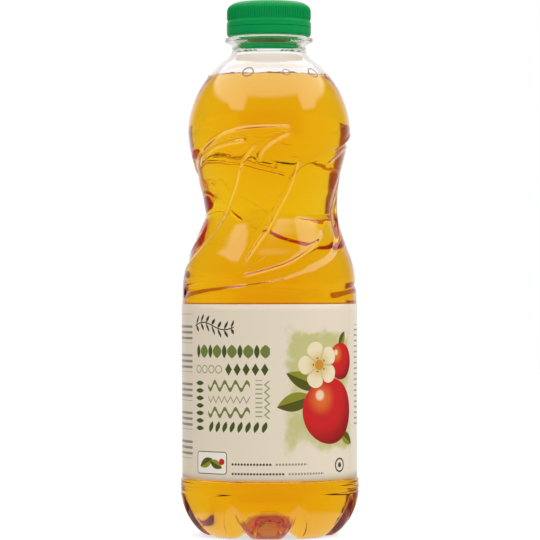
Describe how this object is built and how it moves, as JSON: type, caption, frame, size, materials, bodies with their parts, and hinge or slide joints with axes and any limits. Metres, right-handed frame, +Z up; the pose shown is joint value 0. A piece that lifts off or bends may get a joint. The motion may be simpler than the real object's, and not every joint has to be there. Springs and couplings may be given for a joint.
{
  "type": "juice bottle",
  "caption": "Full clear plastic juice bottle with a green screw cap, a rounded shoulder, a swirled and waisted grip, a cream wrap label and a footed base.",
  "frame": {"origin": "on the floor, on the bottle's axis, under its base", "axes": "+Z up along the bottle's axis, -Y towards the front of the label, +X to the right seen from the front"},
  "size_m": [0.0848, 0.0848, 0.253],
  "materials": {
    "clear_plastic": "clear, glossy blown polyester, colourless",
    "juice": "clear amber-yellow juice, like apple juice",
    "cap_plastic": "moulded green plastic with a satin sheen and finely ribbed sides",
    "label_film": "printed cream film, slightly glossy"
  },
  "bodies": {
    "root": {"bottle": "clear_plastic", "juice": "juice", "cap": "cap_plastic", "label": "label_film"}
  },
  "joints": []
}
